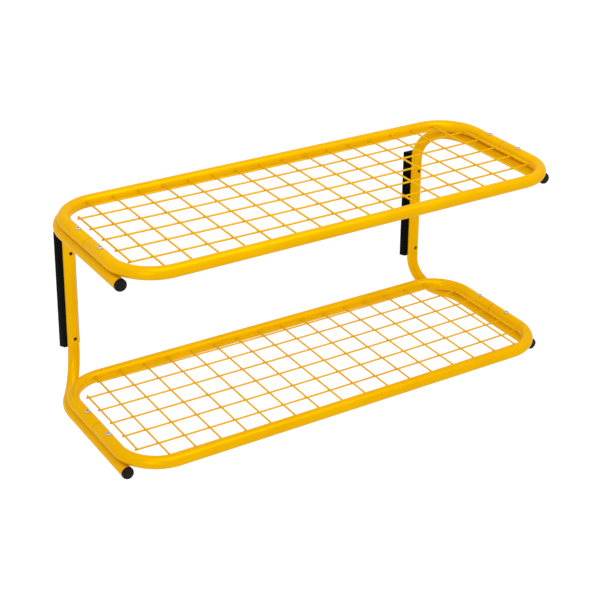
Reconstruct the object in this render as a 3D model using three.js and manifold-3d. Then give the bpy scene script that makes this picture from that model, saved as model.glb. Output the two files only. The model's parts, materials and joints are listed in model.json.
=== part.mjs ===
// Wall-hung two-tier rack: two bent-tube side brackets carry two shelves, each a
// round-cornered tube frame with a welded wire mesh in it.
//
// Millimetres. X runs along the shelves, Y = 0 is the wall and -Y is the room, +Z is up.
// The origin is on the wall, midway between the brackets and between the wall-screw holes.

import * as THREE from 'three';
import { mergeVertices } from 'three/addons/utils/BufferGeometryUtils.js';
import Module from 'manifold-3d';

const wasm = await Module();
wasm.setup();

// ---------------------------------------------------------------- driving dimensions

const clearance = 0.3;          // left between pieces that touch
const tubeWall = 1.5;

// Shelf frames
const shelfLength = 900;        // overall, along X
const shelfDepth = 348;         // overall, along Y
const shelfSpacing = 355;       // from one shelf to the other
const frameTube = 23;           // outer diameter
const frameCornerRadius = 78;   // to the middle of the tube
const seamGap = 0.4;            // between the front and the rear half of a frame
const seamForward = 4;          // seams, screws and mesh sit in front of mid-depth
const sleeveLength = 60;        // joint sleeve inside each seam
const sleeveWall = 1.5;

// Brackets
const bracketTube = 22;         // outer diameter
const wallToUpright = 19;       // wall to the middle of the upright tube
const uprightToFrame = 46.5;    // middle of the upright to the middle of the rear rail
const uprightBendRadius = 66;   // where the upright turns into an arm
const armBendRadius = 100;      // where the arm turns in behind the shelf corner
const armBendAngle = THREE.MathUtils.degToRad(33);
const armOutset = 1.5;          // arm outboard of the side rail that rests on it
const armSetback = 40;          // arm's cut end behind the middle of the front rail
const capLip = 4;               // cap outside the tube
const capStem = 14;             // cap inside the tube
const capDome = 1.2;            // rise of the cap's face
const capRim = 1.6;             // round of the cap's edge

// Shelf screws, down through a side rail into a nut inside the arm
const screwOffset = 43;         // each side of the seam
const screwShank = 5;
const screwHead = 9.5;
const screwHeadHeight = 2;
const screwTip = 0.8;           // chamfer at the end of the shank
const screwReach = 12;          // shank past the underside of the rail
const recessWidth = 1.5;
const recessSpan = 6;
const recessDepth = 1.3;
const nutAcross = 9;            // over the corners
const nutHeight = 5;
const nutDrop = 4.2;            // nut's top below the top of the arm

// Wire mesh
const wire = 3.5;               // wire diameter
const weldSink = 0.6;           // how far crossing wires are pressed into each other
const crossPitch = 50;          // between full-width cross wires
const rowPitch = 49.5;          // between inner lengthwise wires
const endWireGap = 13.3;        // side rail to the middle of the short end wire
const edgeWireGap = 9.5;        // edge wire from its rail, were the mesh at mid-depth
const wireStub = 3;             // lengthwise wires past the short end wires
const crossShiftX = 3;          // full-width cross wires stand slightly off centre,
const rowShiftX = 1.3;          // and so do the ends of the lengthwise wires
const meshLift = 0.75;          // mesh over the middle of the frame tube at mid-length
const meshBow = 3;              // how much higher the mesh stands at its ends
const weldEvery = 3;            // every third cross wire is tacked to the rails
const weldRadius = 3.1;

// Wall pads
const padPastTop = 12.5;        // pad past the upper end of the upright's straight
const padShortBottom = 1.5;     // pad short of the straight's lower end
const padWidth = 39.6;          // at the wall
const padLip = 1.4;             // pad beside the upright, where it ends
const padLipSetback = 3;        // pad's front edge behind the middle of the upright
const padEdge = 2.5;            // straight edge against the wall
const padCorner = 6;            // round front corner at the pad's ends

// Wall-screw holes through the uprights and pads
const wallHoleInset = 24;       // from the ends of the upright's straight
const wallHole = 7;
const padHole = 5.5;

// Facets
const tubeSides = 12;
const boreSides = 8;
const wireSides = 6;
const screwSides = 8;
const nutSides = 6;
const wireSteps = 8;
const bendStep = THREE.MathUtils.degToRad(15);
const cutPast = 2;              // how far a cutting shape runs past what it cuts

// ---------------------------------------------------------------- worked-out places

const frameRadius = frameTube / 2;
const bracketRadius = bracketTube / 2;
const railX = (shelfLength - frameTube) / 2;
const rearRailY = -(wallToUpright + uprightToFrame);
const frontRailY = rearRailY - (shelfDepth - frameTube);
const seamY = (rearRailY + frontRailY) / 2 - seamForward;
const railOverArm = frameRadius + bracketRadius + clearance;
const armZ = shelfSpacing / 2;
const armEndY = frontRailY + armSetback;
const uprightY = -wallToUpright;
const uprightInset = armBendRadius * (1 - Math.cos(armBendAngle))
    + uprightBendRadius * Math.sin(armBendAngle);
const armX = railX + armOutset;
const uprightX = armX - uprightInset;
const armBendY = uprightY - armBendRadius * Math.sin(armBendAngle)
    - uprightBendRadius * Math.cos(armBendAngle);
const straightEndZ = shelfSpacing / 2 - uprightBendRadius;
const padLength = 2 * straightEndZ + padPastTop - padShortBottom;
const padRise = (padPastTop + padShortBottom) / 2;
const levels = { upper: armZ + railOverArm, lower: -armZ + railOverArm };
const wallHoleZ = [straightEndZ - wallHoleInset, wallHoleInset - straightEndZ];
const screwHole = (screwShank + 2 * clearance) / Math.cos(Math.PI / screwSides);

// ---------------------------------------------------------------- finishes

const yellowPaint = { color: 0xf5b000, roughness: 0.34, metalness: 0.0 };
const zincSteel = { color: 0xc4c6ca, roughness: 0.3, metalness: 1.0 };
const blackPlastic = { color: 0x141415, roughness: 0.5, metalness: 0.0 };

const rack = new THREE.Group();
rack.name = 'two_tier_wall_rack';

function addPiece(name, geometry, finish) {
  const mesh = new THREE.Mesh(geometry, new THREE.MeshStandardMaterial(finish));
  mesh.name = name;
  rack.add(mesh);
  return mesh;
}

// ---------------------------------------------------------------- solids

function toSolid(geometry) {
  const bare = geometry.clone();
  bare.deleteAttribute('normal');
  bare.deleteAttribute('uv');
  const merged = mergeVertices(bare, 1e-4);
  return new wasm.Manifold(new wasm.Mesh({
    numProp: 3,
    vertProperties: new Float32Array(merged.attributes.position.array),
    triVerts: new Uint32Array(merged.index.array),
  }));
}

function toGeometry(solid) {
  const mesh = solid.getMesh();
  const geometry = new THREE.BufferGeometry();
  geometry.setAttribute('position', new THREE.BufferAttribute(mesh.vertProperties, 3));
  geometry.setIndex(new THREE.BufferAttribute(mesh.triVerts, 1));
  return geometry;
}

function joined(solids) {
  return solids.reduce((whole, next) => whole.add(next));
}

// A route through given points, each a ring of the tube that follows it.
class Route extends THREE.Curve {
  constructor(points) {
    super();
    this.points = points;
  }

  getSpacedPoints() {
    return this.points;
  }

  getTangentAt(share) {
    const last = this.points.length - 1;
    const at = Math.round(share * last);
    const before = this.points[Math.max(at - 1, 0)];
    const here = this.points[at];
    const after = this.points[Math.min(at + 1, last)];
    const arriving = here.clone().sub(before).normalize();
    const leaving = after.clone().sub(here).normalize();
    return arriving.add(leaving).normalize();
  }
}

function polygon(radius, count, start = 0) {
  return Array.from({ length: count }, (_, i) => {
    const turn = start + (i / count) * 2 * Math.PI;
    return new THREE.Vector2(radius * Math.cos(turn), radius * Math.sin(turn));
  });
}

function tubeAlong(points, outerRadius, wall) {
  const section = new THREE.Shape(polygon(outerRadius, tubeSides));
  section.holes.push(new THREE.Path(polygon(outerRadius - wall, boreSides)));
  return new THREE.ExtrudeGeometry(section, {
    steps: points.length - 1,
    extrudePath: new Route(points),
  });
}

// Outer radius of what slides into a tube.
function slidingFit(outerRadius) {
  return (outerRadius - tubeWall) * Math.cos(Math.PI / boreSides) - clearance;
}

function barAlong(points, radius, count, start) {
  return new THREE.ExtrudeGeometry(new THREE.Shape(polygon(radius, count, start)), {
    steps: points.length - 1,
    extrudePath: new Route(points),
  });
}

// Points of an arc about `centre`, from `from` to `to` (angles), along two unit vectors.
function arc(centre, radius, axisA, axisB, from, to) {
  const steps = Math.max(2, Math.round(Math.abs(to - from) / bendStep));
  return Array.from({ length: steps + 1 }, (_, i) => {
    const turn = from + ((to - from) * i) / steps;
    return centre.clone()
        .addScaledVector(axisA, radius * Math.cos(turn))
        .addScaledVector(axisB, radius * Math.sin(turn));
  });
}

function drill(x, y, z, diameter, length, axis) {
  const hole = new THREE.CylinderGeometry(diameter / 2, diameter / 2, length, screwSides);
  if (axis === 'z') hole.rotateX(Math.PI / 2);
  hole.translate(x, y, z);
  return toSolid(hole);
}

const along = {
  x: new THREE.Vector3(1, 0, 0),
  y: new THREE.Vector3(0, 1, 0),
  z: new THREE.Vector3(0, 0, 1),
};
const sides = { left: -1, right: 1 };

// ---------------------------------------------------------------- side brackets

// One tube: front end of the upper arm, back under the rail, inward behind the shelf's
// corner, down the upright, and the same way forward to the end of the lower arm.
function bracketRoute(side) {
  const heading = new THREE.Vector3(
      -side * Math.sin(armBendAngle), Math.cos(armBendAngle), 0);
  const armBend = arc(
      new THREE.Vector3(side * (armX - armBendRadius), armBendY, 0), armBendRadius,
      new THREE.Vector3(side, 0, 0), along.y, 0, armBendAngle);
  const turnStart = armBend[armBend.length - 1];
  const half = [new THREE.Vector3(side * armX, armEndY, armZ)];
  armBend.forEach((point) => half.push(point.clone().setZ(armZ)));
  const bendCentre = turnStart.clone().setZ(armZ - uprightBendRadius);
  const uprightBend = arc(
      bendCentre, uprightBendRadius, along.z, heading, 0, Math.PI / 2);
  half.push(...uprightBend.slice(1));
  const lowerHalf = half.map((point) => point.clone().setZ(-point.z)).reverse();
  return [...half, ...lowerHalf];
}

function bracket(side) {
  let solid = toSolid(tubeAlong(bracketRoute(side), bracketRadius, tubeWall));
  for (const z of wallHoleZ) {
    solid = solid.subtract(
        drill(side * uprightX, uprightY, z, wallHole, bracketTube + 2 * cutPast, 'y'));
  }
  for (const z of [armZ, -armZ]) {
    for (const y of [seamY - screwOffset, seamY + screwOffset]) {
      solid = solid.subtract(drill(
          side * railX, y, z + bracketRadius, screwHole, bracketRadius, 'z'));
    }
  }
  return toGeometry(solid);
}

// Plug with a domed lip outside the tube and a stem inside it, pointing to -Y.
function armCap() {
  const stemRadius = slidingFit(bracketRadius);
  const profile = [
    [0, capStem],
    [stemRadius - 1, capStem],
    [stemRadius, capStem - 1],
    [stemRadius, -clearance],
    [bracketRadius, -clearance],
    [bracketRadius, -clearance - capLip + capRim],
    [bracketRadius - capRim * 0.3, -clearance - capLip + capRim * 0.3],
    [bracketRadius - capRim, -clearance - capLip],
    [bracketRadius * 0.5, -clearance - capLip - capDome * 0.7],
    [0, -clearance - capLip - capDome],
  ].map(([radius, depth]) => new THREE.Vector2(radius, depth));
  return new THREE.LatheGeometry(profile.reverse(), tubeSides);
}

// ---------------------------------------------------------------- shelf frames

// Half of a frame: from one seam around two corners to the other. `end` is -1 at the
// front and 1 at the rear.
function frameHalfRoute(end, level) {
  const railY = end < 0 ? frontRailY : rearRailY;
  const cornerY = railY - end * frameCornerRadius;
  const cornerX = railX - frameCornerRadius;
  const outward = new THREE.Vector3(0, end, 0);
  const leftCorner = arc(
      new THREE.Vector3(-cornerX, cornerY, level), frameCornerRadius,
      new THREE.Vector3(-1, 0, 0), outward, 0, Math.PI / 2);
  const rightCorner = arc(
      new THREE.Vector3(cornerX, cornerY, level), frameCornerRadius,
      outward, along.x, 0, Math.PI / 2);
  const seam = seamY + (end * seamGap) / 2;
  return [
    new THREE.Vector3(-railX, seam, level),
    ...leftCorner,
    ...rightCorner,
    new THREE.Vector3(railX, seam, level),
  ];
}

function frameHalf(end, level) {
  let solid = toSolid(tubeAlong(frameHalfRoute(end, level), frameRadius, tubeWall));
  for (const side of [-1, 1]) {
    solid = solid.subtract(drill(
        side * railX, seamY + end * screwOffset, level, screwHole, frameTube + 2 * cutPast, 'z'));
  }
  return toGeometry(solid);
}

function jointSleeve(side, level) {
  const points = [-0.5, 0.5].map(
      (share) => new THREE.Vector3(side * railX, seamY + share * sleeveLength, level));
  return tubeAlong(points, slidingFit(frameRadius), sleeveWall);
}

// ---------------------------------------------------------------- shelf screws and nuts

// Pan-head screw with a cross recess; its head rests on top of the rail at height 0.
function shelfScrew() {
  const headRadius = screwHead / 2;
  const shankEnd = -frameTube - screwReach;
  const profile = [
    [0, shankEnd],
    [screwShank / 2 - screwTip, shankEnd],
    [screwShank / 2, shankEnd + screwTip],
    [screwShank / 2, clearance],
    [headRadius, clearance],
    [headRadius, clearance + screwHeadHeight * 0.4],
    [headRadius * 0.72, clearance + screwHeadHeight * 0.85],
    [0, clearance + screwHeadHeight],
  ].map(([radius, height]) => new THREE.Vector2(radius, height));
  const body = new THREE.LatheGeometry(profile, screwSides);
  body.rotateX(Math.PI / 2);
  let solid = toSolid(body);
  for (const turn of [Math.PI / 4, -Math.PI / 4]) {
    const slot = new THREE.BoxGeometry(recessSpan, recessWidth, recessDepth * 2);
    slot.rotateZ(turn);
    slot.translate(0, 0, clearance + screwHeadHeight);
    solid = solid.subtract(toSolid(slot));
  }
  return solid;
}

// Hexagon nut under the top wall of an arm, its top face at height 0.
function armNut() {
  const bore = (screwShank / 2 + clearance) / Math.cos(Math.PI / nutSides);
  const profile = [
    [bore, -nutHeight],
    [nutAcross / 2, -nutHeight],
    [nutAcross / 2, 0],
    [bore, 0],
    [bore, -nutHeight],
  ].map(([radius, height]) => new THREE.Vector2(radius, height));
  return new THREE.LatheGeometry(profile, nutSides).rotateX(Math.PI / 2);
}

// ---------------------------------------------------------------- wire mesh

const meshHalfLength = railX - frameRadius - endWireGap;
const meshHalfDepth = (shelfDepth - frameTube) / 2 - frameRadius - edgeWireGap;
const crossPitches = Math.floor((2 * meshHalfLength) / crossPitch) - 1;
const rowPitches = Math.floor((2 * meshHalfDepth) / rowPitch) - 1;
const crossSpan = crossPitch * crossPitches;
const rowSpan = rowPitch * rowPitches;
const layerOffset = (wire - weldSink) / 2;

function meshHeight(x, level) {
  const share = (x - rowShiftX) / meshHalfLength;
  return level + meshLift + meshBow * share * share;
}

// A corner of the wire's section points up, so that crossing wires meet edge to edge.
function lengthwiseWire(middleX, halfLength, y, level) {
  const points = Array.from({ length: wireSteps + 1 }, (_, i) => {
    const x = middleX - halfLength + (2 * halfLength * i) / wireSteps;
    return new THREE.Vector3(x, y, meshHeight(x, level) - layerOffset);
  });
  return toSolid(barAlong(points, wire / 2, wireSides, Math.PI / 2));
}

function crossWire(x, yFront, yRear, level) {
  const z = meshHeight(x, level) + layerOffset;
  const points = [new THREE.Vector3(x, yFront, z), new THREE.Vector3(x, yRear, z)];
  return toSolid(barAlong(points, wire / 2, wireSides));
}

// A tack sits on the inner side of a rail, also where the rail starts to turn.
function weldTack(x, end, level) {
  const z = meshHeight(x, level) + layerOffset;
  const inner = frameCornerRadius - Math.sqrt(frameRadius ** 2 - (z - level) ** 2);
  const intoCorner = Math.max(0, Math.abs(x) - (railX - frameCornerRadius));
  const railY = end < 0 ? frontRailY : rearRailY;
  const tack = new THREE.SphereGeometry(weldRadius, 6, 4);
  tack.translate(
      x, railY + end * (Math.sqrt(inner ** 2 - intoCorner ** 2) - frameCornerRadius), z);
  return toSolid(tack);
}

function wireMesh(level) {
  const wires = [];
  const rowFrontY = seamY - rowSpan / 2;
  for (let i = 0; i <= rowPitches; i += 1) {
    const y = rowFrontY + i * rowPitch;
    wires.push(lengthwiseWire(rowShiftX, meshHalfLength + wireStub, y, level));
  }
  for (const end of [-1, 1]) {
    const y = seamY + end * meshHalfDepth;
    wires.push(lengthwiseWire(crossShiftX, crossSpan / 2 + wireStub, y, level));
    wires.push(crossWire(
        rowShiftX + end * meshHalfLength,
        rowFrontY - wireStub, rowFrontY + rowSpan + wireStub, level));
  }
  for (let i = 0; i <= crossPitches; i += 1) {
    const x = crossShiftX - crossSpan / 2 + i * crossPitch;
    wires.push(crossWire(x, frontRailY, rearRailY, level));
    if (i % weldEvery === 0) {
      wires.push(weldTack(x, -1, level));
      wires.push(weldTack(x, 1, level));
    }
  }
  // The wires stop at the round of the rails.
  const rails = [-1, 1].map((end) => toSolid(
      barAlong(frameHalfRoute(end, level), frameRadius + clearance, tubeSides)));
  return toGeometry(joined(wires).subtract(joined(rails)));
}

// ---------------------------------------------------------------- wall pads

// A profile that is widest at the wall and cradles the upright, cut to length with
// rounded ends.
function wallPad(side) {
  const grooveRadius = bracketRadius + clearance;
  const lipY = uprightY + padLipSetback;
  const grooveX = Math.sqrt(grooveRadius ** 2 - padLipSetback ** 2);
  const grooveFrom = Math.atan2(padLipSetback, grooveX);
  const lipX = grooveX + padLip;
  const section = new THREE.Shape();
  section.moveTo(-padWidth / 2, 0);
  section.lineTo(-padWidth / 2, -padEdge);
  section.lineTo(-lipX, lipY);
  section.lineTo(-grooveX, lipY);
  section.absarc(0, uprightY, grooveRadius, Math.PI - grooveFrom, grooveFrom, true);
  section.lineTo(lipX, lipY);
  section.lineTo(padWidth / 2, -padEdge);
  section.lineTo(padWidth / 2, 0);
  const bar = new THREE.ExtrudeGeometry(section, {
    depth: padLength, bevelEnabled: false, curveSegments: tubeSides / 2,
  });
  bar.translate(0, 0, padRise - padLength / 2);

  const depth = -lipY;
  const corner = Math.min(padCorner, depth / 2);
  const half = padLength / 2;
  const outline = new THREE.Shape();
  outline.moveTo(cutPast, -half);
  outline.lineTo(-depth + corner, -half);
  outline.absarc(-depth + corner, -half + corner, corner, -Math.PI / 2, -Math.PI, true);
  outline.lineTo(-depth, half - corner);
  outline.absarc(-depth + corner, half - corner, corner, Math.PI, Math.PI / 2, true);
  outline.lineTo(cutPast, half);
  const envelope = new THREE.ExtrudeGeometry(outline, {
    depth: padWidth + 2 * cutPast, bevelEnabled: false, curveSegments: 4,
  });
  envelope.applyMatrix4(new THREE.Matrix4().makeBasis(along.y, along.z, along.x));
  envelope.translate(-padWidth / 2 - cutPast, 0, padRise);

  let solid = toSolid(bar).intersect(toSolid(envelope));
  for (const z of wallHoleZ) {
    solid = solid.subtract(drill(0, uprightY / 2, z, padHole, wallToUpright * 2, 'y'));
  }
  return toGeometry(solid).translate(side * uprightX, 0, 0);
}

// ---------------------------------------------------------------- assembly

for (const [sideName, side] of Object.entries(sides)) {
  addPiece(`${sideName}_bracket`, bracket(side), yellowPaint);
  addPiece(`${sideName}_wall_pad`, wallPad(side), blackPlastic);
  for (const [levelName, z] of Object.entries({ upper: armZ, lower: -armZ })) {
    addPiece(`${levelName}_${sideName}_arm_cap`, armCap(), blackPlastic)
        .position.set(side * armX, armEndY, z);
  }
}

for (const [levelName, level] of Object.entries(levels)) {
  addPiece(`${levelName}_frame_front`, frameHalf(-1, level), yellowPaint);
  addPiece(`${levelName}_frame_rear`, frameHalf(1, level), yellowPaint);
  addPiece(`${levelName}_wire_mesh`, wireMesh(level), yellowPaint);
  for (const [sideName, side] of Object.entries(sides)) {
    addPiece(`${levelName}_${sideName}_joint_sleeve`, jointSleeve(side, level), zincSteel);
    for (const [endName, end] of Object.entries({ front: -1, rear: 1 })) {
      const y = seamY + end * screwOffset;
      addPiece(
          `${levelName}_${sideName}_screw_${endName}`, toGeometry(shelfScrew()), zincSteel)
          .position.set(side * railX, y, level + frameRadius);
      addPiece(`${levelName}_${sideName}_arm_nut_${endName}`, armNut(), zincSteel)
          .position.set(side * railX, y, level - railOverArm + bracketRadius - nutDrop);
    }
  }
}

export default rack;
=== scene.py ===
import json
import math

import bpy
from mathutils import Matrix, Vector

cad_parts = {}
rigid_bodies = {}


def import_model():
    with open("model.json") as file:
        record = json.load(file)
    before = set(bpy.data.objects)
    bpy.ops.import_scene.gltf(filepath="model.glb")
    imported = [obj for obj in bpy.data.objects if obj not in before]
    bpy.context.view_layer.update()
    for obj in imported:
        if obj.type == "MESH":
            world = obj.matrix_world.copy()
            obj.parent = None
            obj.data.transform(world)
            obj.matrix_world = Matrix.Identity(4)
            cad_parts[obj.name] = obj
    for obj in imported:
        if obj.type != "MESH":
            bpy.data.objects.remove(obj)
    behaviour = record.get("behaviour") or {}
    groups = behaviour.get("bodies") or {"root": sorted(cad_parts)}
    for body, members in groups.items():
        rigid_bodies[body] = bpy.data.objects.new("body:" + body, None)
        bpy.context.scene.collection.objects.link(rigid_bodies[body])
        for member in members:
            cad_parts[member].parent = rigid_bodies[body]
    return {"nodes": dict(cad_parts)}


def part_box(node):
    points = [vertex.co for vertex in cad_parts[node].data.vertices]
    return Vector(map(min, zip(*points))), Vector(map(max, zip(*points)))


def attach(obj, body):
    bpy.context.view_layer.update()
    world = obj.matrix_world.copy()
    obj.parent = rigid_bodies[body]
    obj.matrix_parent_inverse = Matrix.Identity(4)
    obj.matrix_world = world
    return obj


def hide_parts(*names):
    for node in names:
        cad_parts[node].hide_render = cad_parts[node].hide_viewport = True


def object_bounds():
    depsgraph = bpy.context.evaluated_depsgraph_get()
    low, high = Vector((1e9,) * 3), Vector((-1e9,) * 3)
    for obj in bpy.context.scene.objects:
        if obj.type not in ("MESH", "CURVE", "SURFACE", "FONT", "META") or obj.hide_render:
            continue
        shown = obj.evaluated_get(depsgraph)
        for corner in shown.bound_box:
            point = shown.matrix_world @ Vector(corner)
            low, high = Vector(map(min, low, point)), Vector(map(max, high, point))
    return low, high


# A two-tier wall rack. Two bent-tube side brackets, with black plastic caps and wall
# pads, carry two shelves, each a round-cornered tube frame with a welded wire mesh.
bpy.ops.object.select_all(action="SELECT")
bpy.ops.object.delete()
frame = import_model()
cad_low, cad_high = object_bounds()


# Side brackets. Each is one 22 mm steel tube with 1.5 mm walls, cut, drilled and bent
# cold round formers, then powder coated yellow with the other painted pieces. Its
# upright is screwed to the wall through two holes.
bracket_tube = 0.022
tube_wall = 0.0015
upright_bend_radius = 0.066
arm_bend_radius = 0.100
arm_bend_angle = math.radians(33.0)
wall_hole = 0.007
wall_hole_height = 0.0875
shelf_screw_hole = 0.0056
tube_sides = 48
bend_step = math.radians(3.0)
quarter_turn = math.pi / 2
hair = 0.00001          # places closer than this are the same
drill_past = 0.005      # how far a drill runs past what it goes through


def take(piece):
    """Makes the piece the only selected one, ready for an operator."""
    bpy.ops.object.select_all(action="DESELECT")
    piece.select_set(True)
    bpy.context.view_layer.objects.active = piece
    return piece


def newest(name):
    """Names the piece that an operator has just made and puts its place in its mesh."""
    piece = take(bpy.context.active_object)
    piece.name = name
    piece.data.name = name
    bpy.ops.object.transform_apply(location=True, rotation=True, scale=True)
    return piece


def modified(piece, kind, **settings):
    take(piece)
    modifier = piece.modifiers.new(kind.lower(), kind)
    for setting, value in settings.items():
        setattr(modifier, setting, value)
    bpy.ops.object.modifier_apply(modifier=modifier.name)
    return piece


def edited(piece, faces=None, edges=None):
    """Enters edit mode with the faces or edges that pass the test selected."""
    take(piece)
    mesh = piece.data
    for group in (mesh.vertices, mesh.edges, mesh.polygons):
        group.foreach_set("select", [False] * len(group))
    if edges is not None:
        bpy.context.tool_settings.mesh_select_mode = (False, True, False)
        for edge in mesh.edges:
            edge.select = edges(*(mesh.vertices[v].co for v in edge.vertices))
    if faces is not None:
        bpy.context.tool_settings.mesh_select_mode = (False, False, True)
        for face in mesh.polygons:
            face.select = faces(face.center, face.normal)
    bpy.ops.object.mode_set(mode="EDIT")


def out_of_edit():
    bpy.ops.object.mode_set(mode="OBJECT")


def face_outwards(piece):
    edited(piece)
    bpy.ops.mesh.select_all(action="SELECT")
    bpy.ops.mesh.remove_doubles(threshold=hair / 2)
    bpy.ops.mesh.normals_make_consistent(inside=False)
    out_of_edit()
    return piece


def smoothed(piece, angle=35.0):
    take(piece)
    bpy.ops.object.shade_smooth_by_angle(angle=math.radians(angle))
    return piece


def joined(pieces, name):
    bpy.ops.object.select_all(action="DESELECT")
    for piece in pieces:
        piece.select_set(True)
    bpy.context.view_layer.objects.active = pieces[0]
    bpy.ops.object.join()
    return newest(name)


def copied(piece, move, name="copy"):
    twin = piece.copy()
    twin.data = piece.data.copy()
    twin.data.transform(Matrix.Translation(Vector(move)))
    twin.name = name
    bpy.context.collection.objects.link(twin)
    return twin


def drilled(piece, centre, direction, diameter, length):
    bpy.ops.mesh.primitive_cylinder_add(
        vertices=32, radius=diameter / 2, depth=length, location=centre,
        rotation=Vector(direction).to_track_quat("Z", "Y").to_euler())
    drill = newest("drill")
    modified(piece, "BOOLEAN", operation="DIFFERENCE", object=drill, solver="EXACT")
    bpy.data.objects.remove(drill)
    return piece


def bent_tube(name, start, heading, runs, outer_radius):
    """A tube that starts at a point and goes through straights and bends.

    A straight is its length. A bend is its radius, its angle and the way it turns.
    """
    place, heading = Vector(start), Vector(heading).normalized()
    bpy.ops.mesh.primitive_circle_add(
        vertices=tube_sides, radius=outer_radius, location=place,
        rotation=heading.to_track_quat("Z", "Y").to_euler())
    tube = newest(name)
    edited(tube)
    bpy.ops.mesh.select_all(action="SELECT")
    for run in runs:
        if isinstance(run, float):
            bpy.ops.mesh.extrude_region_move(
                TRANSFORM_OT_translate={"value": heading * run})
            place = place + heading * run
            continue
        bend_radius, angle, towards = run
        centre = place + Vector(towards).normalized() * bend_radius
        axis = heading.cross(Vector(towards)).normalized()
        bpy.ops.mesh.spin(
            steps=round(angle / bend_step), angle=-angle, center=centre, axis=axis)
        turn = Matrix.Rotation(angle, 3, axis)
        place = centre + turn @ (place - centre)
        heading = turn @ heading
    out_of_edit()
    face_outwards(tube)
    return modified(tube, "SOLIDIFY", thickness=tube_wall, offset=-1.0)


# Every painted piece has the same satin powder coat: baked polyester powder, which
# levels to a faint orange peel and lies a little duller where it is thin.
paint_light = (0.85, 0.458, 0.0003, 1.0)
paint_deep = (0.80, 0.412, 0.0003, 1.0)
# Painted shade: the dark colour of the coat in creases and joints.
crease_shade_colour = (0.42, 0.17, 0.0002, 1.0)
paint_gloss_tint = (1.0, 0.72, 0.03, 1.0)


class Shade:
    """A shader value: Python's operators on it add Math nodes."""

    def __init__(self, tree, socket):
        self.tree = tree
        self.socket = socket

    def math(self, operation, *others):
        return Finish.node_in(
            self.tree, "ShaderNodeMath", {"operation": operation},
            dict(enumerate((self, *others))))

    def __add__(self, other):
        return self.math("ADD", other)

    def __mul__(self, other):
        return self.math("MULTIPLY", other)

    def __sub__(self, other):
        return self.math("SUBTRACT", other)

    def __rsub__(self, other):
        return Finish.node_in(
            self.tree, "ShaderNodeMath", {"operation": "SUBTRACT"}, {0: other, 1: self})

    __radd__ = __add__
    __rmul__ = __mul__

    def off(self, value):
        """How far it is from the value, either way."""
        return (self - value).math("ABSOLUTE")

    def between(self, low, high):
        """0 below low, 1 above high, and a straight climb between them."""
        return Finish.node_in(
            self.tree, "ShaderNodeMapRange", {"clamp": True},
            {"Value": self, "From Min": low, "From Max": high})


class Finish:
    """A material: its nodes are made by `node`, and its surface is set by `surface`."""

    def __init__(self, name):
        self.material = bpy.data.materials.new(name)
        self.material.use_nodes = True
        self.tree = self.material.node_tree
        self.principled = self.tree.nodes["Principled BSDF"]
        self.place = self.node("ShaderNodeTexCoord", output="Object")

    @staticmethod
    def node_in(tree, kind, settings=None, inputs=None, output=0):
        node = tree.nodes.new(kind)
        for setting, value in (settings or {}).items():
            setattr(node, setting, value)
        for socket, value in (inputs or {}).items():
            if isinstance(value, Shade):
                tree.links.new(value.socket, node.inputs[socket])
            else:
                node.inputs[socket].default_value = value
        return Shade(tree, node.outputs[output])

    def node(self, kind, settings=None, inputs=None, output=0):
        return Finish.node_in(self.tree, kind, settings, inputs, output)

    def noise(self, scale, detail=2.0, roughness=0.5):
        return self.node(
            "ShaderNodeTexNoise", None,
            {"Vector": self.place, "Scale": scale, "Detail": detail,
             "Roughness": roughness})

    def along(self, axis):
        return self.node(
            "ShaderNodeSeparateXYZ", None, {"Vector": self.place}, output=axis)

    def mixed(self, factor, colour, other):
        return self.node(
            "ShaderNodeMix", {"data_type": "RGBA"},
            {0: factor, 6: colour, 7: other}, output=2)

    def bumped(self, height, distance, strength=1.0):
        return self.node(
            "ShaderNodeBump", None,
            {"Height": height, "Distance": distance, "Strength": strength})

    def surface(self, **inputs):
        for name, value in inputs.items():
            words = name.replace("_", " ").title().replace("Ior", "IOR")
            socket = self.principled.inputs[words]
            if isinstance(value, Shade):
                self.tree.links.new(value.socket, socket)
            else:
                socket.default_value = value
        return self.material


def powder_coat(name, shaded=None):
    """The coat; `shaded` is where painted shade falls, in a crease or by a joint, and turns it
    darker.
    """
    paint = Finish(name)
    cloudy = paint.noise(14.0, 3.0).between(0.3, 0.7)
    peel = paint.noise(520.0, 1.5) + 0.5 * paint.noise(1700.0, 1.0)
    specks = paint.noise(2600.0, 0.0).between(0.70, 0.78)
    colour = paint.mixed(
        0.15 * specks, paint.mixed(cloudy, paint_deep, paint_light), paint_deep)
    # Painted shade: where `shaded` gives a weight, the colour turns to the dark crease colour.
    if shaded:
        colour = paint.mixed(shaded(paint), colour, crease_shade_colour)
    return paint.surface(
        base_color=colour,
        roughness=0.25 + 0.07 * cloudy + 0.08 * specks,
        metallic=0.24,
        specular_ior_level=0.03,
        specular_tint=paint_gloss_tint,
        normal=paint.bumped(peel, 0.00004, 0.28))


tube_paint = powder_coat("yellow_powder_coat")


def finished(piece, material, slot_name, *nodes):
    """Gives the piece its material, hangs it on the root body and hides the CAD nodes that it
    stands for.
    """
    piece.data.materials.clear()
    piece.data.materials.append(material)
    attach(piece, "root")
    if nodes:
        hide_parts(*nodes)
    return piece


front_low, front_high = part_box("upper_frame_front")
rear_low, rear_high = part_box("upper_frame_rear")
seam_y = (front_high.y + rear_low.y) / 2
side_rail_x = front_high.x - (front_high.z - front_low.z) / 2
shelf_screw_offset = 0.043
screw_rows = (seam_y - shelf_screw_offset, seam_y + shelf_screw_offset)

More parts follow.
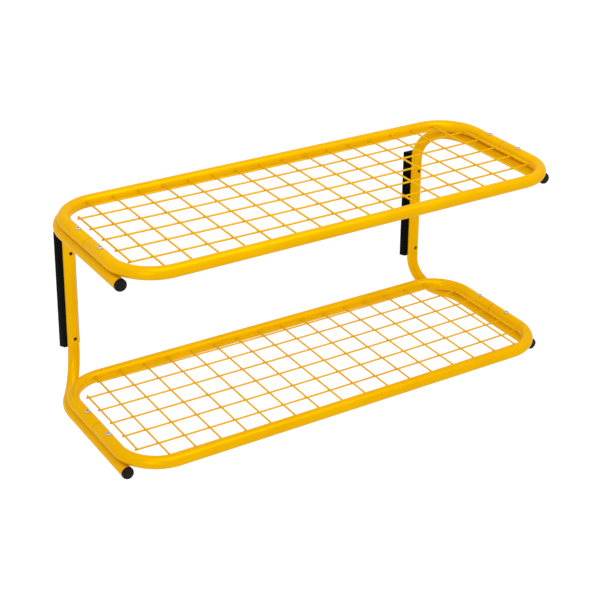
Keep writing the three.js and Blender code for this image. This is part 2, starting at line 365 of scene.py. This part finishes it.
for side, sign in (("left", -1), ("right", 1)):
    low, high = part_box(f"{side}_bracket")
    bracket_radius = bracket_tube / 2
    outer_x, inner_x = (low.x, high.x) if sign < 0 else (high.x, low.x)
    arm_x = outer_x - sign * bracket_radius
    upright_x = inner_x + sign * bracket_radius
    upright_y = high.y - bracket_radius
    arm_z = high.z - bracket_radius
    bend_y = (upright_y - arm_bend_radius * math.sin(arm_bend_angle)
              - upright_bend_radius * math.cos(arm_bend_angle))
    turned = Vector((-sign * math.sin(arm_bend_angle), math.cos(arm_bend_angle), 0.0))
    outboard = Vector((-sign * math.cos(arm_bend_angle), -math.sin(arm_bend_angle), 0.0))
    bracket = bent_tube(
        f"bracket_{side}", (arm_x, low.y, arm_z), (0.0, 1.0, 0.0),
        [bend_y - low.y,
         (arm_bend_radius, arm_bend_angle, (-sign, 0.0, 0.0)),
         (upright_bend_radius, quarter_turn, (0.0, 0.0, -1.0)),
         2 * (arm_z - upright_bend_radius),
         (upright_bend_radius, quarter_turn, -turned),
         (arm_bend_radius, arm_bend_angle, outboard),
         bend_y - low.y], bracket_radius)
    for z in (wall_hole_height, -wall_hole_height):
        drilled(bracket, (upright_x, upright_y, z), (0, 1, 0), wall_hole,
                bracket_tube + 2 * drill_past)
    for z in (arm_z, -arm_z):
        for y in screw_rows:
            drilled(bracket, (sign * side_rail_x, y, z + bracket_radius), (0, 0, 1),
                    shelf_screw_hole, bracket_radius)
    smoothed(bracket)
    finished(bracket, tube_paint, "yellow_paint", f"{side}_bracket")


# Arm end caps. Black polyethylene plugs, moulded with a shallow domed face and a
# rounded rim, pressed into the cut ends of the arms.
cap_stem = 0.014
cap_face_rise = 0.0012
cap_face_rings = 4
cap_ring_share = 0.17   # of the cap's radius
cap_rim_round = 0.0016
cap_fit = 0.0006        # stem inside the tube's bore


def moulded_plastic(name, gloss):
    """Black plastic with the fine spark-eroded grain of its mould."""
    plastic = Finish(name)
    grain = plastic.noise(1900.0, 2.0)
    scuffs = plastic.noise(160.0, 4.0, 0.65).between(0.52, 0.72)
    colour = plastic.mixed(
        scuffs, (0.0022, 0.0020, 0.0020, 1.0), (0.0046, 0.0042, 0.0042, 1.0))
    return plastic.surface(
        base_color=colour,
        roughness=0.34 - gloss + 0.12 * scuffs,
        specular_ior_level=gloss,
        normal=plastic.bumped(grain, 0.00003, 0.6))


cap_plastic = moulded_plastic("black_cap_plastic", 0.13)

for level in ("upper", "lower"):
    for side in ("left", "right"):
        low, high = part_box(f"{level}_{side}_arm_cap")
        cap_radius = (high.x - low.x) / 2
        face_y = low.y + cap_face_rise
        back_y = high.y - cap_stem
        bpy.ops.mesh.primitive_cylinder_add(
            vertices=tube_sides, radius=cap_radius, depth=back_y - face_y,
            location=((low.x + high.x) / 2, (face_y + back_y) / 2, (low.z + high.z) / 2),
            rotation=(quarter_turn, 0.0, 0.0))
        cap = newest(f"arm_cap_{level}_{side}")
        edited(cap, edges=lambda a, b: max(a.y, b.y) < face_y + hair)
        bpy.ops.mesh.bevel(offset=cap_rim_round, segments=6, affect="EDGES")
        out_of_edit()
        edited(cap, faces=lambda centre, normal: normal.y < -0.99)
        for _ in range(cap_face_rings):
            bpy.ops.mesh.inset(thickness=cap_radius * cap_ring_share)
            bpy.ops.transform.translate(
                value=(0.0, -cap_face_rise / cap_face_rings, 0.0))
        out_of_edit()
        edited(cap, faces=lambda centre, normal: normal.y > 0.99)
        bpy.ops.mesh.inset(thickness=tube_wall + cap_fit)
        bpy.ops.mesh.extrude_region_move(
            TRANSFORM_OT_translate={"value": (0.0, cap_stem, 0.0)})
        out_of_edit()
        smoothed(cap, 32.0)
        finished(cap, cap_plastic, "black_plastic", f"{level}_{side}_arm_cap")


# Wall pads. Black plastic profiles, widest at the wall, with a round groove that
# cradles the back of an upright; the front corners at their ends are rounded off.
pad_edge = 0.0025
pad_end_round = 0.006
pad_soft_edge = 0.0006
pad_hole = 0.0055
pad_lip = 0.0014
groove_gap = 0.0003
pad_plastic = moulded_plastic("black_pad_plastic", 0.025)

for side, sign in (("left", -1), ("right", 1)):
    low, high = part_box(f"{side}_wall_pad")
    bracket_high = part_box(f"{side}_bracket")[1]
    groove_radius = bracket_tube / 2 + groove_gap
    groove_y = bracket_high.y - bracket_tube / 2
    centre_x, centre_z = (low.x + high.x) / 2, (low.z + high.z) / 2
    lip_x = math.sqrt(groove_radius ** 2 - (low.y - groove_y) ** 2) + pad_lip
    bpy.ops.mesh.primitive_cube_add(
        size=1.0, location=(centre_x, high.y - pad_edge / 2, centre_z),
        scale=(high.x - low.x, pad_edge, high.z - low.z))
    pad = newest(f"wall_pad_{side}")
    edited(pad, faces=lambda centre, normal: normal.y < -0.9)
    bpy.ops.mesh.extrude_region_move(
        TRANSFORM_OT_translate={"value": (0.0, low.y - high.y + pad_edge, 0.0)})
    bpy.ops.transform.resize(value=(2 * lip_x / (high.x - low.x), 1.0, 1.0))
    out_of_edit()
    edited(pad, edges=lambda a, b: (
        abs(a.z - b.z) < hair and max(a.y, b.y) < low.y + hair))
    bpy.ops.mesh.bevel(offset=pad_end_round, segments=6, affect="EDGES")
    out_of_edit()
    bpy.ops.mesh.primitive_cylinder_add(
        vertices=96, radius=groove_radius, depth=high.z - low.z + 2 * drill_past,
        location=(centre_x, groove_y, centre_z))
    groove = newest("groove")
    modified(pad, "BOOLEAN", operation="DIFFERENCE", object=groove, solver="EXACT")
    bpy.data.objects.remove(groove)
    for z in (wall_hole_height, -wall_hole_height):
        drilled(pad, (centre_x, groove_y / 2, z), (0, 1, 0), pad_hole,
                high.y - groove_y + 4 * drill_past)
    face_outwards(pad)
    modified(pad, "BEVEL", width=pad_soft_edge, segments=3,
             limit_method="ANGLE", angle_limit=math.radians(32.0))
    smoothed(pad, 30.0)
    finished(pad, pad_plastic, "black_plastic", f"{side}_wall_pad")


# Shelf frames. Each is two U-shaped halves of 23 mm steel tube, pushed together over
# a steel sleeve half-way along each side rail, which leaves a hairline seam there.
frame_corner_radius = 0.078
seam_edge_round = 0.0004
seam_shade = 0.0009


def seam_painted_shade(paint):
    """Painted shade: the last millimetre each side of a seam is coloured darker."""
    return 0.6 * (1 - paint.along("Y").off(seam_y).between(0.0003, seam_shade))


frame_paint = powder_coat("yellow_powder_coat_frame", seam_painted_shade)


def on_outer_rim(point):
    """Whether the point is on the outer edge of one of the half's two cut ends."""
    middle = Vector((math.copysign(rail_x, point.x), level_z))
    off_rim = (point.xz - middle).length - frame_radius
    return abs(point.y - cut_y) < hair and abs(off_rim) < hair


for level in ("upper", "lower"):
    for part, end in (("front", -1), ("rear", 1)):
        low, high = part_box(f"{level}_frame_{part}")
        frame_radius = (high.z - low.z) / 2
        level_z = (low.z + high.z) / 2
        rail_x = high.x - frame_radius
        rail_y = low.y + frame_radius if end < 0 else high.y - frame_radius
        cut_y = high.y if end < 0 else low.y
        side_run = abs(rail_y - cut_y) - frame_corner_radius
        rail = bent_tube(
            f"frame_{level}_{part}", (-rail_x, cut_y, level_z), (0.0, end, 0.0),
            [side_run,
             (frame_corner_radius, quarter_turn, (1.0, 0.0, 0.0)),
             2 * (rail_x - frame_corner_radius),
             (frame_corner_radius, quarter_turn, (0.0, -end, 0.0)),
             side_run], frame_radius)
        edited(rail, edges=lambda a, b: on_outer_rim(a) and on_outer_rim(b))
        bpy.ops.mesh.bevel(offset=seam_edge_round, segments=3, affect="EDGES")
        out_of_edit()
        for x in (-rail_x, rail_x):
            drilled(rail, (x, seam_y + end * shelf_screw_offset, level_z), (0, 0, 1),
                    shelf_screw_hole, 2 * (frame_radius + drill_past))
        smoothed(rail)
        finished(rail, frame_paint, "yellow_paint", f"{level}_frame_{part}")


# Joint sleeves and nuts. Both are bare zinc-plated steel and sit inside the tubes,
# the sleeves across the seams and the nuts under the top wall of the arms.
def zinc_plate(name, brightness, shaded_by=None):
    """Bright passivated zinc, a little cloudy; the optional attribute marks where painted
    shade darkens it.
    """
    zinc = Finish(name)
    cloudy = zinc.noise(420.0, 3.0)
    marks = zinc.noise(3200.0, 1.0)
    colour = zinc.mixed(
        cloudy.between(0.35, 0.65),
        (0.60 * brightness, 0.60 * brightness, 0.63 * brightness, 1.0),
        (0.78 * brightness, 0.79 * brightness, 0.80 * brightness, 1.0))
    if shaded_by:
        # Painted shade: the marked faces turn near black, as the shade inside a recess.
        recess_shade = zinc.node("ShaderNodeAttribute", {"attribute_name": shaded_by}, output="Fac")
        colour = zinc.mixed(0.93 * recess_shade, colour, (0.02, 0.016, 0.02, 1.0))
    return zinc.surface(
        base_color=colour, metallic=1.0, roughness=0.20 + 0.16 * cloudy,
        normal=zinc.bumped(marks, 0.00002, 0.4))


bright_zinc = zinc_plate("zinc_plated_steel", 1.0)

for level in ("upper", "lower"):
    for side in ("left", "right"):
        for node in (f"{level}_{side}_joint_sleeve", f"{level}_{side}_arm_nut_front",
                     f"{level}_{side}_arm_nut_rear"):
            carried = frame["nodes"][node]
            carried.data.materials.clear()
            carried.data.materials.append(bright_zinc)


# Wire meshes. Each is 3.5 mm wire, welded at every crossing and bowed a little up towards the
# shelf's ends, then tacked to the front and rear rails at every third cross wire before
# painting, so the coat fills the creases of the welds. Painted shade darkens the creases along
# the rails.
wire_radius = 0.00175
weld_sink = 0.0006
cross_pitch = 0.050
row_pitch = 0.0495
end_wire_gap = 0.0133
edge_wire_gap = 0.0095
wire_stub = 0.003
cross_shift = 0.003
row_shift = 0.0013
mesh_lift = 0.00075
mesh_bow = 0.003
weld_every = 3
tack_radius = 0.0033
tack_sink = 0.0004
wire_end_round = 0.0004
wire_off_rail = 0.0002  # from a wire's cut end to its rail
wire_sides = 16
wire_steps = 40
frame_span = rail_x - frame_radius
frame_middle = (rear_high.y + front_low.y) / 2
frame_reach = (rear_high.y - front_low.y) / 2 - 2 * frame_radius
half_length = frame_span - end_wire_gap
half_depth = frame_reach - edge_wire_gap
cross_pitches = math.floor(2 * half_length / cross_pitch) - 1
row_pitches = math.floor(2 * half_depth / row_pitch) - 1
full_x = cross_pitch * cross_pitches / 2
full_y = row_pitch * row_pitches / 2
layer = wire_radius - weld_sink / 2


def rail_crease_shade(paint):
    """Painted shade: the crease between a wire or a tack and its rail is coloured darker."""
    from_middle = paint.along("Y").off(frame_middle)
    return 0.6 * from_middle.between(frame_reach - 0.004, frame_reach + 0.001)


wire_paint = powder_coat("yellow_powder_coat_wire", rail_crease_shade)


def bow(x):
    return mesh_lift + mesh_bow * ((x - row_shift) / half_length) ** 2


def cut_end_softened(wire):
    return modified(wire, "BEVEL", width=wire_end_round, segments=2,
                    limit_method="ANGLE", angle_limit=math.radians(60.0))


def wire_along_x(middle, half, y, base_z):
    """A wire that follows the bow, made from a ring pushed out step by step."""
    left = middle - half
    bpy.ops.mesh.primitive_circle_add(
        vertices=wire_sides, radius=wire_radius, fill_type="NGON",
        location=(left, y, base_z + bow(left) - layer), rotation=(0.0, quarter_turn, 0.0))
    wire = newest("wire")
    edited(wire)
    bpy.ops.mesh.select_all(action="SELECT")
    for step in range(wire_steps):
        here = left + 2 * half * step / wire_steps
        there = left + 2 * half * (step + 1) / wire_steps
        bpy.ops.mesh.extrude_region_move(
            TRANSFORM_OT_translate={"value": (there - here, 0.0, bow(there) - bow(here))})
    out_of_edit()
    face_outwards(wire)
    return cut_end_softened(wire)


def wire_along_y(x, low_y, high_y, base_z):
    bpy.ops.mesh.primitive_cylinder_add(
        vertices=wire_sides, radius=wire_radius, depth=high_y - low_y,
        location=(x, (low_y + high_y) / 2, base_z + bow(x) + layer),
        rotation=(quarter_turn, 0.0, 0.0))
    return cut_end_softened(newest("wire"))


def rail_side(x, z, end, base_z):
    """Where the inner side of the front or rear rail lies at x and z."""
    inner = frame_corner_radius - math.sqrt(frame_radius ** 2 - (z - base_z) ** 2)
    into_corner = max(0.0, abs(x) - (rail_x - frame_corner_radius))
    return frame_middle + end * (frame_reach + frame_radius - frame_corner_radius
                                 + math.sqrt(inner ** 2 - into_corner ** 2))


ripple = bpy.data.textures.new("weld_ripple", "CLOUDS")
ripple.noise_scale = 0.0024

for level in ("upper", "lower"):
    low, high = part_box(f"{level}_frame_front")
    level_z = (low.z + high.z) / 2
    rows = [(row_shift, half_length + wire_stub, seam_y - full_y + i * row_pitch)
            for i in range(row_pitches + 1)]
    rows += [(cross_shift, full_x + wire_stub, seam_y + end * half_depth)
             for end in (-1, 1)]
    wires = [wire_along_x(*row, level_z) for row in rows]
    columns = []
    for i in range(cross_pitches + 1):
        x = cross_shift - full_x + i * cross_pitch
        z = level_z + bow(x) + layer
        reach = [rail_side(x, z, end, level_z) for end in (-1, 1)]
        wires.append(wire_along_y(
            x, reach[0] + wire_off_rail, reach[1] - wire_off_rail, level_z))
        columns.append((x, [row[2] for row in rows]))
        if i % weld_every:
            continue
        for end, y in zip((-1, 1), reach):
            bpy.ops.mesh.primitive_ico_sphere_add(
                subdivisions=3, radius=tack_radius, location=(x, y, z - tack_sink),
                scale=(1.35, 0.95, 0.85))
            wires.append(modified(
                newest("tack"), "DISPLACE", texture=ripple, strength=0.0011,
                mid_level=0.45, texture_coords="LOCAL"))
    for end in (-1, 1):
        x = row_shift + end * half_length
        wires.append(wire_along_y(
            x, seam_y - full_y - wire_stub, seam_y + full_y + wire_stub, level_z))
        columns.append((x, [row[2] for row in rows[:-2]]))
    bpy.ops.mesh.primitive_uv_sphere_add(
        segments=10, ring_count=6, radius=wire_radius * 1.28, scale=(1.0, 1.0, 0.72))
    nugget = newest("nugget")
    for x, crossed in columns:
        for y in crossed:
            wires.append(copied(nugget, (x, y, level_z + bow(x))))
    bpy.data.objects.remove(nugget)
    mesh_panel = smoothed(joined(wires, f"wire_mesh_{level}"), 50.0)
    finished(mesh_panel, wire_paint, "yellow_paint", f"{level}_wire_mesh")


# Shelf screws. M5 zinc-plated pan-head machine screws with a cross recess, two on top
# of each side rail, down through the rail into the nuts in the arm.
head_crown = 0.0014
recess_width = 0.0015
recess_span = 0.0058
recess_depth = 0.0014
recess_rim = 0.00018
shank_radius = 0.0025
head_zinc = zinc_plate("zinc_plated_screw", 0.86, "recess")

low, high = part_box("upper_left_screw_front")
head_radius = (high.x - low.x) / 2
head_height = 0.002
head_x, head_y = (low.x + high.x) / 2, (low.y + high.y) / 2
bpy.ops.mesh.primitive_cylinder_add(
    vertices=40, radius=head_radius, depth=head_height,
    location=(head_x, head_y, high.z - head_height / 2))
pattern_screw = newest("pattern_screw")
edited(pattern_screw, edges=lambda a, b: min(a.z, b.z) > high.z - hair)
bpy.ops.mesh.bevel(offset=head_crown, segments=8, affect="EDGES")
out_of_edit()
edited(pattern_screw, faces=lambda centre, normal: normal.z < -0.9)
bpy.ops.mesh.inset(thickness=head_radius - shank_radius)
bpy.ops.mesh.extrude_region_move(
    TRANSFORM_OT_translate={"value": (0.0, 0.0, low.z - high.z + head_height)})
out_of_edit()
for turn in (math.pi / 4, -math.pi / 4):
    bpy.ops.mesh.primitive_cube_add(
        size=1.0, location=(head_x, head_y, high.z),
        rotation=(0.0, 0.0, turn), scale=(recess_span, recess_width, 2 * recess_depth))
    blade = newest("blade")
    edited(blade, faces=lambda centre, normal: normal.z < -0.9)
    bpy.ops.transform.resize(
        value=(0.45, 0.45, 1.0), center_override=(head_x, head_y, high.z))
    out_of_edit()
    modified(pattern_screw, "BOOLEAN", operation="DIFFERENCE", object=blade, solver="EXACT")
    bpy.data.objects.remove(blade)
face_outwards(pattern_screw)
modified(pattern_screw, "BEVEL", width=0.00012, segments=2, limit_method="ANGLE",
         angle_limit=math.radians(40.0))
smoothed(pattern_screw, 30.0)
# Faces inside the cross recess are marked for painted shade.
recess_shade_faces = pattern_screw.data.attributes.new("recess", "FLOAT", "FACE")
for face in pattern_screw.data.polygons:
    off_axis = (face.center.xy - Vector((head_x, head_y))).length
    in_recess = high.z - head_height < face.center.z < high.z - recess_rim
    recess_shade_faces.data[face.index].value = float(in_recess and off_axis < recess_span / 2)

for level in ("upper", "lower"):
    for side in ("left", "right"):
        for part in ("front", "rear"):
            node = f"{level}_{side}_screw_{part}"
            node_low, node_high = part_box(node)
            screw = copied(pattern_screw, node_low - low, f"shelf_screw_{level}_{side}_{part}")
            finished(screw, head_zinc, "zinc_steel", node)
bpy.data.objects.remove(pattern_screw)


# Floor. A plain pale sheet well below the rack, which hangs free of it.
floor_drop = 1.1
bpy.ops.mesh.primitive_plane_add(size=60.0, location=(0.0, 0.0, cad_low.z - floor_drop))
floor = newest("floor")
pale = Finish("pale_floor")
floor.data.materials.append(pale.surface(
    base_color=(0.93, 0.93, 0.93, 1.0), roughness=0.9,
    emission_color=(1.0, 1.0, 1.0, 1.0), emission_strength=0.25))
floor.visible_diffuse = False


# Light. A white surround and large soft panels: one above, one from the front left.
world = bpy.data.worlds.new("studio")
bpy.context.scene.world = world
world.use_nodes = True
world.node_tree.nodes["Background"].inputs["Color"].default_value = (1.0, 1.0, 1.0, 1.0)
world.node_tree.nodes["Background"].inputs["Strength"].default_value = 0.84
rack_centre = (cad_low + cad_high) / 2


def soft_panel(name, place, size, power):
    bpy.ops.object.light_add(type="AREA", location=place)
    panel = bpy.context.active_object
    panel.name = name
    panel.data.shape = "RECTANGLE"
    panel.data.size, panel.data.size_y = size
    panel.data.energy = power
    panel.rotation_euler = (rack_centre - Vector(place)).to_track_quat("-Z", "Y").to_euler()


soft_panel("panel_above", (0.2, -0.9, 2.3), (2.4, 1.6), 25.5)
soft_panel("panel_front_left", (-2.4, -2.6, 1.2), (1.4, 1.8), 15.5)


# Camera. It looks down on the rack from its front left.
bpy.ops.object.camera_add(
    location=(-1.3415, -2.3344, 1.2706),
    rotation=(math.radians(67.388), math.radians(-0.8335), math.radians(-32.256)))
camera = bpy.context.active_object
camera.data.sensor_width = 36.0
camera.data.lens = 90.335
camera.data.shift_x = -0.02469
camera.data.shift_y = -0.20745
bpy.context.scene.camera = camera
bpy.context.scene.view_settings.view_transform = "Standard"
